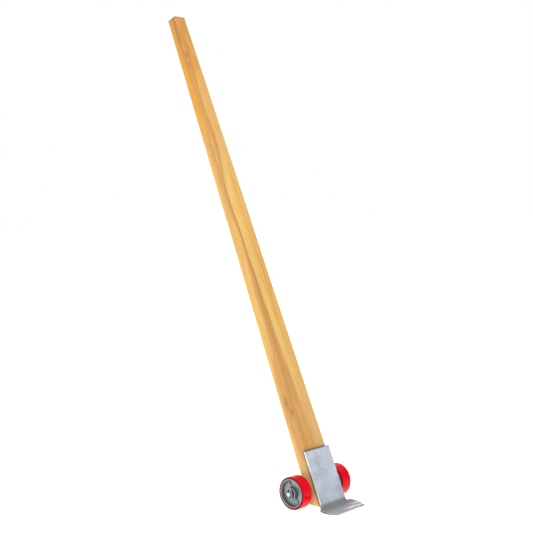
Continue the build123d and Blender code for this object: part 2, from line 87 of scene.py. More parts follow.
# ------------------------------------------------------------------ shader helpers
ACROSS = (1, 0, 0)
UP = (0, 0, 1)


class Graph:
    """One material's node graph, with short calls to add and join nodes."""

    def __init__(self, name):
        self.material = bpy.data.materials.new(name)
        self.material.use_nodes = True
        self.tree = self.material.node_tree
        self.shader = self.tree.nodes["Principled BSDF"]
        self.place = self.node("ShaderNodeTexCoord").outputs["Object"]

    def feed(self, socket, value):
        if isinstance(value, bpy.types.NodeSocket):
            self.tree.links.new(value, socket)
        else:
            socket.default_value = value

    def node(self, kind, inputs=None, **settings):
        made = self.tree.nodes.new(kind)
        for name, value in settings.items():
            setattr(made, name, value)
        for name, value in (inputs or {}).items():
            self.feed(made.inputs[name], value)
        return made

    def math(self, operation, first, second=0.0, third=0.0):
        made = self.node("ShaderNodeMath", {0: first, 1: second, 2: third}, operation=operation)
        return made.outputs[0]

    def moved(self, vector, location=(0, 0, 0), rotation=(0, 0, 0), scale=(1, 1, 1), kind="POINT"):
        inputs = {"Vector": vector, "Location": location, "Rotation": rotation, "Scale": scale}
        return self.node("ShaderNodeMapping", inputs, vector_type=kind).outputs[0]

    def split(self, vector):
        return self.node("ShaderNodeSeparateXYZ", {0: vector}).outputs

    def joined(self, x, y, z=0.0):
        return self.node("ShaderNodeCombineXYZ", {0: x, 1: y, 2: z}).outputs[0]

    def noise(self, vector, scale, detail=3.0, roughness=0.5):
        inputs = {"Vector": vector, "Scale": scale, "Detail": detail, "Roughness": roughness}
        return self.node("ShaderNodeTexNoise", inputs).outputs[0]

    def cells(self, vector, scale):
        """A random number from 0 to 1 for each cell of a Voronoi pattern."""
        inputs = {"Vector": vector, "Scale": scale}
        return self.split(self.node("ShaderNodeTexVoronoi", inputs).outputs["Color"])[0]

    def length(self, vector):
        return self.node("ShaderNodeVectorMath", {0: vector}, operation="LENGTH").outputs["Value"]

    def step(self, value, low, high, out_low=0.0, out_high=1.0, smooth=True):
        """From out_low to out_high as value goes from low to high, in an S or a straight line."""
        inputs = {"Value": value, "From Min": low, "From Max": high,
                  "To Min": out_low, "To Max": out_high}
        kind = "SMOOTHSTEP" if smooth else "LINEAR"
        return self.node("ShaderNodeMapRange", inputs, interpolation_type=kind).outputs[0]

    def ramp(self, factor, stops):
        """A colour for each factor. stops are (position, (r, g, b)) pairs."""
        made = self.node("ShaderNodeValToRGB", {0: factor})
        made.color_ramp.interpolation = "EASE"
        elements = made.color_ramp.elements
        while len(elements) < len(stops):
            elements.new(0.5)
        for element, (position, colour) in zip(elements, stops):
            element.position = position
            element.color = (*colour, 1)
        return made.outputs[0]

    def curve(self, factor, points):
        """A smooth number for each factor. points are (factor, number) pairs, both from 0 to 1."""
        made = self.node("ShaderNodeFloatCurve", {1: factor})
        line = made.mapping.curves[0]
        while len(line.points) < len(points):
            line.points.new(0.5, 0.5)
        for point, place in zip(line.points, points):
            point.location = place
        made.mapping.update()
        return made.outputs[0]

    def mix(self, factor, first, second, blend="MIX"):
        made = self.node("ShaderNodeMix", data_type="RGBA", blend_type=blend)
        colours = [socket for socket in made.inputs if socket.type == "RGBA"]
        self.feed(made.inputs[0], factor)
        for socket, value in zip(colours, (first, second)):
            self.feed(socket, (*value, 1) if isinstance(value, tuple) else value)
        return [socket for socket in made.outputs if socket.type == "RGBA"][0]

    def layer(self, colour, mask, strength, other):
        """The colour with another over it: none where mask is 0, up to strength where it is 1."""
        return self.mix(self.product(mask, strength), colour, other)

    def shaded(self, colour, amount):
        """The colour times a number."""
        return self.mix(1.0, colour, self.joined(amount, amount, amount), "MULTIPLY")

    def bump(self, height, distance, strength):
        inputs = {"Height": height, "Distance": distance, "Strength": strength}
        return self.node("ShaderNodeBump", inputs).outputs[0]

    def painted_crevice_shade(self, reach, darkest, shut=0.35, clear=0.95):
        """1 in the open, down to darkest within reach of another surface: painted shade in hollows and between
        parts.

        shut and clear are the shares of open space at which the painted shade is darkest and gone.
        """
        made = self.node("ShaderNodeAmbientOcclusion", {"Distance": reach}, samples=8)
        return self.step(made.outputs["AO"], shut, clear, darkest, 1.0, smooth=False)

    def edges(self, radius):
        """About 1 along sharp convex edges and 0 on flat stretches."""
        rounded = self.node("ShaderNodeBevel", {"Radius": radius}, samples=4).outputs[0]
        flat = self.node("ShaderNodeNewGeometry").outputs["Normal"]
        agree = self.node("ShaderNodeVectorMath", {0: rounded, 1: flat}, operation="DOT_PRODUCT")
        return self.step(agree.outputs["Value"], 0.995, 0.9)

    def normal_part(self, way):
        """How far the surface faces along a direction, from -1 to 1."""
        normal = self.node("ShaderNodeNewGeometry").outputs["Normal"]
        dot = self.node("ShaderNodeVectorMath", {0: normal, 1: way}, operation="DOT_PRODUCT")
        return dot.outputs["Value"]

    def facing(self, way, low, high):
        """From 0 to 1 as the normal's part along a direction, either way, goes from low to high."""
        return self.step(self.math("ABSOLUTE", self.normal_part(way)), low, high)

    def from_axle(self):
        """How far a point is from the axle's axis."""
        x, y, z = self.split(self.place)
        apart = self.joined(self.math("SUBTRACT", y, AXLE.y), self.math("SUBTRACT", z, AXLE.z))
        return self.length(apart)

    def on_handle(self):
        """Across, depth and height in the handle frame, as one vector."""
        return self.moved(self.place, location=(0, HEEL_Y, 0), rotation=tuple(HANDLE_TURN),
                          kind="TEXTURE")

    def product(self, *shares):
        """The product of several numbers."""
        total = shares[0]
        for share in shares[1:]:
            total = self.math("MULTIPLY", total, share)
        return total

    def finish(self, **sockets):
        for name, value in sockets.items():
            self.feed(self.shader.inputs[name.replace("_", " ")], value)
        return self.material


# ------------------------------------------------------------------ wood
STREAK_LENGTH = 24              # how many times longer than wide a streak is
PITH_ACROSS = 0.16              # where the growth rings' middle lies at the heel
PITH_DEPTH = 0.15
PITH_DRIFT = 0.02               # how far the pith moves to the right in one metre
YEARS_PER_METRE = 170
KNOTS = (                       # across, depth, height and radius in the handle frame
    (-0.059, 0.018, 0.430, 0.0100),
    (-0.060, 0.006, 0.388, 0.0070),
    (-0.028, 0.000, 1.912, 0.0050),
    (-0.026, 0.000, 1.958, 0.0075),
    (0.030, 0.054, 0.950, 0.0090),
    (0.050, 0.030, 1.320, 0.0070),
)
HEART_LOW = -0.060              # the way round the corner that the two edge curves cover
HEART_HIGH = 0.090
HEART_SOFTNESS = 0.07
HEART_LEFT_EDGE = (             # share of the handle's height, share of that way
    (0.0, 0.15), (0.10, 0.20), (0.19, 0.13), (0.26, 0.18), (0.31, 0.33), (0.42, 0.33),
    (0.52, 0.40), (0.60, 0.28), (0.70, 0.28), (0.77, 0.34), (0.84, 0.33), (0.92, 0.27),
    (1.0, 0.24),
)
HEART_RIGHT_EDGE = (
    (0.0, 0.93), (0.13, 0.88), (0.20, 0.79), (0.29, 0.68), (0.37, 0.58), (0.45, 0.50),
    (0.53, 0.47), (0.60, 0.42), (0.66, 0.49), (0.73, 0.57), (0.80, 0.49), (0.86, 0.50),
    (0.93, 0.60), (1.0, 0.72),
)


def varnished_wood():
    """Straight-grained honey-coloured timber with brown heartwood, under a thin varnish."""
    g = Graph("varnished_wood")
    at = WoodPlace(g)
    colour = sapwood(g, at)
    colour = heartwood(g, at, colour)
    colour = aged_top(g, at, colour)
    colour = knots_and_ends(g, at, colour)
    colour = g.shaded(colour, g.step(at.fibres, 0.3, 0.7, 0.86, 1.00))
    # painted shade in hollows, darkest along the plate
    colour = g.shaded(colour, g.painted_crevice_shade(0.008, 0.25))
    roughness = g.step(at.fibres, 0.3, 0.7, 0.52, 0.40)
    normal = g.bump(g.math("MULTIPLY_ADD", at.late_wood, 0.4, at.fibres), 0.00035, 0.5)
    return g.finish(Base_Color=colour, Roughness=roughness, Normal=normal, Coat_Weight=0.12,
                    Coat_Roughness=0.25, Specular_IOR_Level=0.22)


class WoodPlace:
    """Where a point of the handle lies, and how the wood's grain runs through it."""

    def __init__(self, g):
        local = g.on_handle()
        self.across, self.depth, self.height = g.split(local)
        # The share of the handle's height: 0 at the heel and 1 at the top end.
        self.share = g.math("DIVIDE", self.height, HANDLE_TOP)
        half_width = g.step(self.share, 0, 1, HALF_WIDTH_LOW, HALF_WIDTH_HIGH, smooth=False)
        # The way round the front left corner: 0 on it, above 0 on the front face.
        self.round_corner = g.math("SUBTRACT", g.math("ADD", self.across, half_width), self.depth)
        self.right_edge = g.step(g.math("SUBTRACT", half_width, self.across), 0.022, 0.004)
        self.streaks = wood_streaks(g, local, 34.0)
        self.fine_streaks = wood_streaks(g, local, 130.0)
        self.blotches = g.noise(g.moved(local, scale=(40, 40, 14)), 1.0, 3.0, 0.6)
        self.fibres = g.noise(g.moved(local, scale=(1100, 1100, 22)), 1.0, 3.0, 0.65)
        self.knot = knots(g, self)
        self.late_wood = growth_rings(g, self)
        self.after_left, self.before_right = heartwood_edges(g, self)
        self.past_heart = g.step(self.before_right, 0.4, -0.6)


def wood_streaks(g, local, density):
    """Long soft streaks along the grain, that many to a metre across it, wandering slowly."""
    wander = g.noise(g.moved(local, scale=(2, 2, 1.6)), 1.0, 2.0)
    across, depth, height = g.split(local)
    shift = g.math("MULTIPLY", wander, 0.05)
    place = g.joined(g.math("MULTIPLY", g.math("ADD", across, shift), density),
                     g.math("MULTIPLY", g.math("ADD", depth, shift), density),
                     g.math("MULTIPLY", height, density / STREAK_LENGTH))
    return g.noise(place, 1.0, 4.0, 0.55)


def growth_rings(g, at):
    """The dark late wood of each year, round a pith beyond the back right of the stick."""
    stretched = g.joined(at.across, at.depth, g.math("MULTIPLY", at.height, 0.12))
    drift = g.noise(stretched, 9.0, 2.0)
    pith = g.math("MULTIPLY_ADD", at.height, PITH_DRIFT, PITH_ACROSS)
    from_pith = g.length(g.joined(g.math("SUBTRACT", at.across, pith),
                                  g.math("SUBTRACT", at.depth, PITH_DEPTH)))
    rings = g.math("MULTIPLY_ADD", drift, 0.05, from_pith)
    rings = g.math("MULTIPLY_ADD", at.knot, 0.01, rings)
    year = g.math("FRACT", g.math("MULTIPLY", rings, YEARS_PER_METRE))
    return g.product(g.step(year, 0.35, 0.95), g.step(year, 1.0, 0.93))


def knots(g, at):
    """About 1 at the heart of each knot, fading out round it and along the grain."""
    total = 0.0
    for across, depth, height, radius in KNOTS:
        apart = g.joined(g.math("SUBTRACT", at.across, across), g.math("SUBTRACT", at.depth, depth),
                         g.math("MULTIPLY", g.math("SUBTRACT", at.height, height), 0.45))
        total = g.math("ADD", total, g.step(g.length(apart), radius * 2.0, radius * 0.2))
    return total


def heartwood_edges(g, at):
    """How far a point lies inside the left and the right edge of the brown heartwood.

    The heartwood follows the front left corner and widens at both ends. The two distances are
    in units of the soft edge's half width.
    """
    left = g.curve(at.share, HEART_LEFT_EDGE)
    right = g.curve(at.share, HEART_RIGHT_EDGE)
    wander = g.product(g.math("SUBTRACT", at.streaks, 0.5), 0.22)
    place = g.step(at.round_corner, HEART_LOW, HEART_HIGH, smooth=False)
    place = g.math("ADD", place, wander)
    after_left = g.math("DIVIDE", g.math("SUBTRACT", place, left), HEART_SOFTNESS)
    before_right = g.math("DIVIDE", g.math("SUBTRACT", right, place), HEART_SOFTNESS)
    return after_left, before_right


def sapwood(g, at):
    """Honey-coloured streaks and late wood, with a pale band to the right of the heartwood."""
    colour = g.ramp(at.streaks, [(0.30, (0.64, 0.325, 0.080)), (0.48, (0.77, 0.44, 0.120)),
                                 (0.68, (0.86, 0.54, 0.165))])
    pale_streak = g.step(at.fine_streaks, 0.52, 0.72)
    colour = g.layer(colour, pale_streak, 0.30, (0.92, 0.64, 0.23))
    colour = g.layer(colour, at.late_wood, 0.13, (0.56, 0.25, 0.055))
    back_strip = g.step(at.round_corner, -0.022, -0.036)
    colour = g.layer(colour, back_strip, 0.40, (0.82, 0.54, 0.15))
    edge_strength = g.step(at.streaks, 0.3, 0.6, 0.60, 0.30)
    colour = g.layer(colour, at.right_edge, edge_strength, (0.72, 0.35, 0.09))
    pale_band = g.product(at.past_heart, g.step(at.before_right, -3.8, -2.4),
                          g.step(at.share, 0.14, 0.28), g.step(at.share, 0.85, 0.62))
    colour = g.layer(colour, pale_band, 0.65, (0.82, 0.575, 0.19))
    tan_foot = g.product(at.past_heart, g.step(at.share, 0.30, 0.14))
    tan_strength = g.step(at.fine_streaks, 0.35, 0.6, 0.75, 0.5)
    return g.layer(colour, tan_foot, tan_strength, (0.70, 0.41, 0.18))


def heartwood(g, at, colour):
    """The brown heartwood with a dark line along its right edge, and painted light on the left side at the foot,
    where the wheel shades it.
    """
    heart = g.product(g.step(at.after_left, -1, 1), g.step(at.before_right, -1, 1),
                      g.step(at.fine_streaks, 0.35, 0.6, 1.0, 0.75))
    colour = g.layer(colour, heart, 0.82, (0.56, 0.265, 0.082))
    dark_line = g.product(g.step(at.before_right, -0.3, 0.2), g.step(at.before_right, 1.1, 0.4),
                          g.step(at.share, 0.30, 0.42),
                          g.step(at.fine_streaks, 0.3, 0.55, 1.0, 0.5))
    colour = g.layer(colour, dark_line, 0.50, (0.38, 0.155, 0.045))
    # painted light: the left side lighter at the foot, against the wheel's shadow
    foot_painted_light = g.product(g.step(at.round_corner, -0.004, -0.020), g.step(at.share, 0.12, 0.06))
    return g.layer(colour, foot_painted_light, 0.70, (0.95, 0.62, 0.25))


def aged_top(g, at, colour):
    """Darker wood towards the top, blotches, and a bright strip high on the left side."""
    old = g.step(at.share, 0.66, 0.92)
    colour = g.layer(colour, old, 0.66, (0.60, 0.275, 0.055))
    pale_upper = g.product(at.past_heart, g.step(at.share, 0.62, 0.72),
                           g.step(at.share, 0.92, 0.84), g.step(at.right_edge, 0.7, 0.2))
    colour = g.layer(colour, pale_upper, 0.60, (0.68, 0.42, 0.150))
    worn_top = g.product(g.step(at.share, 0.84, 0.95), g.step(at.blotches, 0.38, 0.62),
                         g.step(at.round_corner, -0.027, -0.018))
    colour = g.layer(colour, worn_top, 0.60, (0.42, 0.18, 0.050))
    colour = g.layer(colour, g.step(at.blotches, 0.50, 0.75), 0.28, (0.60, 0.30, 0.085))
    bright_strip = g.product(g.step(at.round_corner, -0.014, -0.026),
                             g.step(at.round_corner, -0.048, -0.038),
                             g.step(at.share, 0.70, 0.80), g.step(at.share, 1.0, 0.84))
    return g.layer(colour, bright_strip, 0.75, (0.82, 0.37, 0.030))


def knots_and_ends(g, at, colour):
    """Dark knots, end grain, a dark rim at the top end and a painted shadow on the wood along the plate's edges.
    """
    colour = g.layer(colour, at.knot, 0.55, (0.30, 0.135, 0.045))
    end_grain = g.facing(HANDLE_AXIS, 0.75, 0.95)
    ring_strength = g.math("MULTIPLY_ADD", at.late_wood, 0.45, 0.35)
    colour = g.layer(colour, end_grain, ring_strength, (0.26, 0.12, 0.035))
    top_rim = g.step(at.share, 0.9955, 0.9990)
    colour = g.layer(colour, top_rim, 0.60, (0.30, 0.125, 0.035))
    # painted shadow: near-black wood in the gap beside the plate
    plate_gap_shadow = g.product(g.step(at.height, LEG_HEIGHT + 0.003, LEG_HEIGHT - 0.003),
                     g.step(at.depth, 0.0060, 0.0025))
    return g.layer(colour, plate_gap_shadow, 0.92, (0.03, 0.018, 0.010))


# ------------------------------------------------------------------ metals
LIP_BAND_RATE = 2 * math.pi / 0.022     # one bright band every 22 mm


def zinc_plate():
    """Dull zinc on rolled plate, with faint mottling and scuffs, painted shade towards the foot, and convex edges
    worn bright and painted brighter as a highlight.
    """
    g = Graph("zinc_plate")
    height = g.split(g.on_handle())[2]
    clouds = g.noise(g.place, 26.0, 4.0, 0.6)
    spangle = g.cells(g.place, 190.0)
    grain = g.noise(g.place, 1000.0, 2.0, 0.6)
    scuffs = g.noise(g.moved(g.place, scale=(130, 260, 260)), 1.0, 5.0, 0.75)
    tone = g.math("MULTIPLY_ADD", spangle, 0.14, g.product(clouds, 0.80))
    tone = g.math("MULTIPLY_ADD", grain, 0.14, tone)
    colour = g.ramp(tone, [(0.34, (0.53, 0.585, 0.665)), (0.52, (0.63, 0.695, 0.785)),
                           (0.70, (0.72, 0.775, 0.85))])
    # painted shade: the plate darker towards the foot of the leg
    colour = g.shaded(colour, g.step(height, 0.0, LEG_HEIGHT, 0.91, 0.99))
    colour = g.layer(colour, g.step(scuffs, 0.60, 0.70), 0.35, (0.80, 0.84, 0.89))
    colour = shaded_stained_nose(g, colour, clouds, scuffs)
    # convex edges worn bright, also a painted highlight along the arris
    colour = g.layer(colour, g.edges(0.0025), 0.8, (0.90, 0.91, 0.93))
    colour = painted_leg_edges(g, colour, scuffs)
    # painted shade where the plate meets the wood and in the bend
    colour = g.shaded(colour, g.painted_crevice_shade(0.007, 0.18))
    wear = g.math("MULTIPLY_ADD", clouds, 0.6, g.product(grain, 0.4))
    roughness = g.step(wear, 0.3, 0.7, 0.38, 0.58)
    bumps = g.math("MULTIPLY_ADD", g.noise(g.place, 60.0, 3.0), 1.5, grain)
    return g.finish(Base_Color=colour, Roughness=roughness, Normal=g.bump(bumps, 0.0003, 0.35),
                    Metallic=0.55)


def shaded_stained_nose(g, colour, clouds, scuffs):
    """The nose's zinc: painted shade over its top, darkest at the root, with stains and pits, and painted shade on
    its side faces.
    """
    y, z = g.split(g.place)[1:]
    on_nose = g.step(z, 2.4 * PLATE_THICKNESS, PLATE_THICKNESS)
    # painted shade over the nose's top, mottled
    nose_shade = g.step(clouds, 0.3, 0.6, 0.66, 0.46)
    colour = g.layer(colour, on_nose, nose_shade, (0.275, 0.28, 0.295))
    ragged = g.math("MULTIPLY_ADD", clouds, 0.050, y)
    # painted shade, darker at the nose's root by the bend
    root = g.product(on_nose, g.step(ragged, NOSE_MIDDLE_Y + 0.005, NOSE_MIDDLE_Y + 0.045))
    colour = g.layer(colour, root, 0.60, (0.17, 0.175, 0.18))
    stains = g.product(on_nose, g.step(scuffs, 0.48, 0.60),
                       g.step(y, PLATE_LOW.y + 0.02, NOSE_MIDDLE_Y))
    colour = g.layer(colour, stains, 0.50, (0.17, 0.125, 0.105))
    pits = g.product(on_nose, g.step(g.noise(g.place, 420.0, 3.0, 0.7), 0.56, 0.66))
    colour = g.layer(colour, pits, 0.35, (0.12, 0.12, 0.125))
    colour = ground_lip(g, colour, on_nose)
    # painted shade on the nose's side faces
    nose_side_shade = g.product(on_nose, g.facing(UP, 0.65, 0.35))
    return g.layer(colour, nose_side_shade, 0.80, (0.10, 0.10, 0.10))


def ground_lip(g, colour, on_nose):
    """Bright and dark bands, as a grinder leaves them, along the right half of the lip."""
    x, y = g.split(g.place)[:2]
    drift = g.noise(g.joined(g.product(x, 11.0), g.product(y, 14.0)), 1.0, 3.0, 0.6)
    slant = g.math("MULTIPLY_ADD", y, LIP_BAND_RATE, g.product(x, 30.0))
    bands = g.math("SINE", g.math("MULTIPLY_ADD", drift, 9.0, slant))
    right_half = g.product(on_nose, g.step(x, -0.015, 0.035),
                           g.step(y, NOSE_MIDDLE_Y + 0.006, NOSE_MIDDLE_Y - 0.010))
    bright = g.product(right_half, g.step(bands, 0.0, 0.5))
    dark = g.product(right_half, g.step(bands, -0.45, -0.85))
    colour = g.layer(colour, bright, 0.75, (0.86, 0.87, 0.91))
    return g.layer(colour, dark, 0.6, (0.15, 0.155, 0.175))


def painted_leg_edges(g, colour, scuffs):
    """Painted light on the leg's sides, shadow near the wood and a highlight towards the front, and painted shade
    along the top and right edges.
    """
    across, depth, height = g.split(g.on_handle())
    z = g.split(g.place)[2]
    on_leg = g.step(z, 1.6 * PLATE_THICKNESS, 2.6 * PLATE_THICKNESS)
    # painted shadow at the back of each side, painted highlight towards the front
    leg_sides = g.product(g.facing(ACROSS, 0.6, 0.9), on_leg)
    ragged = g.math("MULTIPLY_ADD", scuffs, 0.003, depth)
    painted_highlight = g.step(ragged, -0.0020, -0.0034)
    side_shadow_and_highlight = g.mix(painted_highlight, (0.05, 0.045, 0.05), (0.90, 0.91, 0.94))
    colour = g.layer(colour, leg_sides, 0.92, side_shadow_and_highlight)
    # painted shade along the top edge and the right edge
    near_top = g.step(height, LEG_HEIGHT - 0.0036, LEG_HEIGHT - 0.0016)
    near_right = g.step(across, PLATE_HALF_WIDTH - 0.0030, PLATE_HALF_WIDTH - 0.0010)
    painted_edge_shade = g.product(g.math("MAXIMUM", near_top, g.product(near_right, 0.6)), on_leg)
    return g.layer(colour, painted_edge_shade, 0.75, (0.15, 0.16, 0.185))


def bright_steel():
    """Turned and ground steel, with fine rings round the axle's axis and painted shade on the rims of its ends."""
    g = Graph("bright_steel")
    x, y, z = g.split(g.place)
    turning = g.noise(g.joined(g.math("MULTIPLY", x, 2600.0), y, z), 1.0, 2.0)
    smears = g.noise(g.place, 120.0, 3.0)
    colour = g.ramp(smears, [(0.35, (0.56, 0.58, 0.58)), (0.65, (0.82, 0.84, 0.84))])
    # painted shade round the rim of each axle end
    near_rim = g.step(g.from_axle(), AXLE_FACE_RADIUS - 0.0018, AXLE_FACE_RADIUS - 0.0002)
    rim_shade = g.product(g.facing(ACROSS, 0.3, 0.6), near_rim)
    colour = g.layer(colour, rim_shade, 0.8, (0.12, 0.125, 0.125))
    # painted shade by the washer and cotter pin
    colour = g.shaded(colour, g.painted_crevice_shade(0.010, 0.2))
    roughness = g.step(smears, 0.3, 0.7, 0.24, 0.42)
    return g.finish(Base_Color=colour, Roughness=roughness, Normal=g.bump(turning, 0.0001, 0.3),
                    Metallic=0.9)


def zinc_hardware():
    """Greyed zinc on nuts, washers, studs and pins, still bright along its edges."""
    g = Graph("zinc_hardware")
    smears = g.noise(g.place, 180.0, 3.0, 0.6)
    grain = g.noise(g.place, 1500.0, 2.0)
    colour = g.ramp(smears, [(0.3, (0.36, 0.39, 0.42)), (0.7, (0.58, 0.60, 0.63))])
    colour = g.layer(colour, g.edges(0.0006), 0.5, (0.82, 0.82, 0.84))
    # painted shade in hollows and between parts
    colour = g.shaded(colour, g.painted_crevice_shade(0.007, 0.15))
    roughness = g.step(smears, 0.3, 0.7, 0.28, 0.46)
    return g.finish(Base_Color=colour, Roughness=roughness, Normal=g.bump(grain, 0.0001, 0.3),
                    Metallic=0.9)


def dark_steel():
    """Black-oxide steel with worn edges, painted lighter as a highlight."""
    g = Graph("dark_steel")
    smears = g.noise(g.place, 250.0, 3.0, 0.6)
    colour = g.ramp(smears, [(0.3, (0.010, 0.011, 0.012)), (0.7, (0.035, 0.036, 0.04))])
    # worn edges, also a painted highlight where they catch the light
    colour = g.layer(colour, g.edges(0.0008), 0.4, (0.36, 0.36, 0.37))
    roughness = g.step(smears, 0.3, 0.7, 0.30, 0.55)
    return g.finish(Base_Color=colour, Roughness=roughness, Metallic=0.5,
                    Specular_IOR_Level=0.3, Normal=g.bump(smears, 0.0002, 0.3))


def grey_cast_iron():
    """Grey paint over a sand casting: pebbled skin, pale edges, painted shade on steep walls, dull lip."""
    g = Graph("grey_cast_iron")
    radius = g.from_axle()
    sand = g.noise(g.place, 700.0, 3.0, 0.65)
    lumps = g.noise(g.place, 110.0, 4.0, 0.65)
    tone = g.math("MULTIPLY_ADD", sand, 0.35, g.product(lumps, 0.65))
    colour = g.ramp(tone, [(0.34, (0.27, 0.30, 0.330)), (0.52, (0.42, 0.45, 0.480)),
                           (0.70, (0.56, 0.585, 0.61))])
    colour = g.layer(colour, g.edges(0.0014), 0.22, (0.80, 0.79, 0.77))
    at_rim = g.step(radius, RIM_WALL_RADIUS - 0.003, RIM_WALL_RADIUS - 0.0005)
    at_hub = g.step(radius, HUB_WALL_RADIUS + 0.003, HUB_WALL_RADIUS + 0.0005)
    # painted shade on the recess and hub sides, mottled
    wall_shade = g.product(g.facing(ACROSS, 0.85, 0.45), g.math("MAXIMUM", at_rim, at_hub))
    shade_strength_on_walls = g.step(lumps, 0.3, 0.6, 0.90, 0.70)
    colour = g.layer(colour, wall_shade, shade_strength_on_walls, (0.045, 0.055, 0.058))
    outer_lip = g.step(radius, CORE_RADIUS - 0.0030, CORE_RADIUS - 0.0010)
    colour = g.layer(colour, outer_lip, 0.75, (0.26, 0.14, 0.14))
    # painted shade in the web's corners and recesses
    colour = g.shaded(colour, g.painted_crevice_shade(0.016, 0.30, shut=0.40, clear=1.0))
    roughness = g.step(tone, 0.3, 0.7, 0.40, 0.62)
    height = g.math("MULTIPLY_ADD", lumps, 1.6, sand)
    return g.finish(Base_Color=colour, Roughness=roughness, Metallic=0.15,
                    Normal=g.bump(height, 0.0006, 0.55))


def brass_fitting():
    """Plain brass with dull patches."""
    g = Graph("brass_fitting")
    smears = g.noise(g.place, 300.0, 3.0, 0.6)
    colour = g.ramp(smears, [(0.3, (0.42, 0.27, 0.09)), (0.7, (0.72, 0.52, 0.22))])
    roughness = g.step(smears, 0.3, 0.7, 0.25, 0.45)
    return g.finish(Base_Color=colour, Roughness=roughness, Metallic=0.95,
                    Normal=g.bump(smears, 0.0002, 0.2))


# ------------------------------------------------------------------ tread
def red_polyurethane():
    """Moulded red polyurethane: painted shade on the side faces, a parting line and fine scuffs."""
    g = Graph("red_polyurethane")
    x = g.split(g.place)[0]
    from_middle = g.math("ABSOLUTE", g.math("SUBTRACT", g.math("ABSOLUTE", x), WHEEL_X))
    mottle = g.noise(g.place, 45.0, 3.0, 0.5)
    fine = g.noise(g.place, 900.0, 2.0)
    colour = g.ramp(mottle, [(0.3, (0.68, 0.0, 0.010)), (0.7, (0.78, 0.001, 0.016))])
    scuff = g.step(g.noise(g.place, 300.0, 4.0, 0.7), 0.60, 0.75)
    colour = g.layer(colour, scuff, 0.08, (0.60, 0.02, 0.03))
    shaded_side_face = g.step(from_middle, TREAD_HALF_WIDTH - 0.0018, TREAD_HALF_WIDTH - 0.0007)
    # painted shade: the side faces darkened
    colour = g.layer(colour, shaded_side_face, 0.88, (0.11, 0.003, 0.010))
    at_core = g.step(g.from_axle(), CORE_RADIUS + 0.0012, CORE_RADIUS + 0.0002)
    colour = g.layer(colour, shaded_side_face, at_core, (0.20, 0.07, 0.07))
    parting_line = g.step(from_middle, 0.0007, 0.0003)
    roughness = g.step(mottle, 0.3, 0.7, 0.26, 0.38)
    height = g.math("ADD", g.product(fine, 0.25), g.product(parting_line, 0.8))
    height = g.math("MULTIPLY_ADD", mottle, 0.5, height)
    return g.finish(Base_Color=colour, Roughness=roughness, Specular_IOR_Level=0.09,
                    Normal=g.bump(height, 0.0004, 0.35))


MATERIALS = {
    "varnished_wood": varnished_wood,
    "zinc_plate": zinc_plate,
    "bright_steel": bright_steel,
    "zinc_hardware": zinc_hardware,
    "dark_steel": dark_steel,
    "grey_cast_iron": grey_cast_iron,
    "red_polyurethane": red_polyurethane,
    "brass_fitting": brass_fitting,
}


def dress_cad_nodes(materials):
    """Give every CAD node the material of its slot in the record."""
    for part in frame["record"]["subparts"]:
        mesh = nodes[part["node"]].data
        mesh.materials.clear()
        mesh.materials.append(materials[part["material_slot"]])


# ------------------------------------------------------------------ threaded studs
STUD_RADIUS = 0.0050
STUD_REACH = 3 * STUD_RADIUS    # vertices nearer than this to each other share a stud
STUD_END_RADIUS = 0.0040        # inside the chamfer
THREAD_ROOT_RADIUS = 0.0041
THREAD_PITCH = 0.0015
THREAD_LENGTH = 0.020
THREAD_COLUMNS = 24             # points round one turn of the thread
THREAD_PROFILE = (              # share of a pitch, radius
    (0.00, THREAD_ROOT_RADIUS),
    (0.12, THREAD_ROOT_RADIUS),
    (0.44, STUD_RADIUS),
    (0.56, STUD_RADIUS),
    (0.88, THREAD_ROOT_RADIUS),
)
MERGE_DISTANCE = 0.00001


def studs_of(name):
    """Each stud of a CAD node, as the point where its axis starts and its length."""
    groups = []
    for vertex in nodes[name].data.vertices:
        place = Vector((vertex.co.x, vertex.co.dot(HANDLE_AXIS), vertex.co.dot(OUT_OF_BACK)))
        near = [group for group in groups if (group[0].xy - place.xy).length < STUD_REACH]
        if near:
            near[0].append(place)
        else:
            groups.append([place])
    found = []
    for group in groups:
        low = Vector(min(place[i] for place in group) for i in range(3))
        high = Vector(max(place[i] for place in group) for i in range(3))
        middle = (low + high) / 2
        start = Vector((middle.x, 0, 0)) + middle.y * HANDLE_AXIS + low.z * OUT_OF_BACK
        found.append((start, high.z - low.z))
    return found


def thread_point(column, along, radius, length):
    """A point of the thread in the stud's own frame, kept between the shank and the end."""
    angle = 2 * math.pi * column / THREAD_COLUMNS
    low = length - THREAD_LENGTH
    height = along + THREAD_PITCH * column / THREAD_COLUMNS
    if height <= low:
        height, radius = low, STUD_RADIUS
    height = min(height, length)
    radius = min(radius, STUD_END_RADIUS + length - height)
    return Vector((radius * math.cos(angle), radius * math.sin(angle), height))


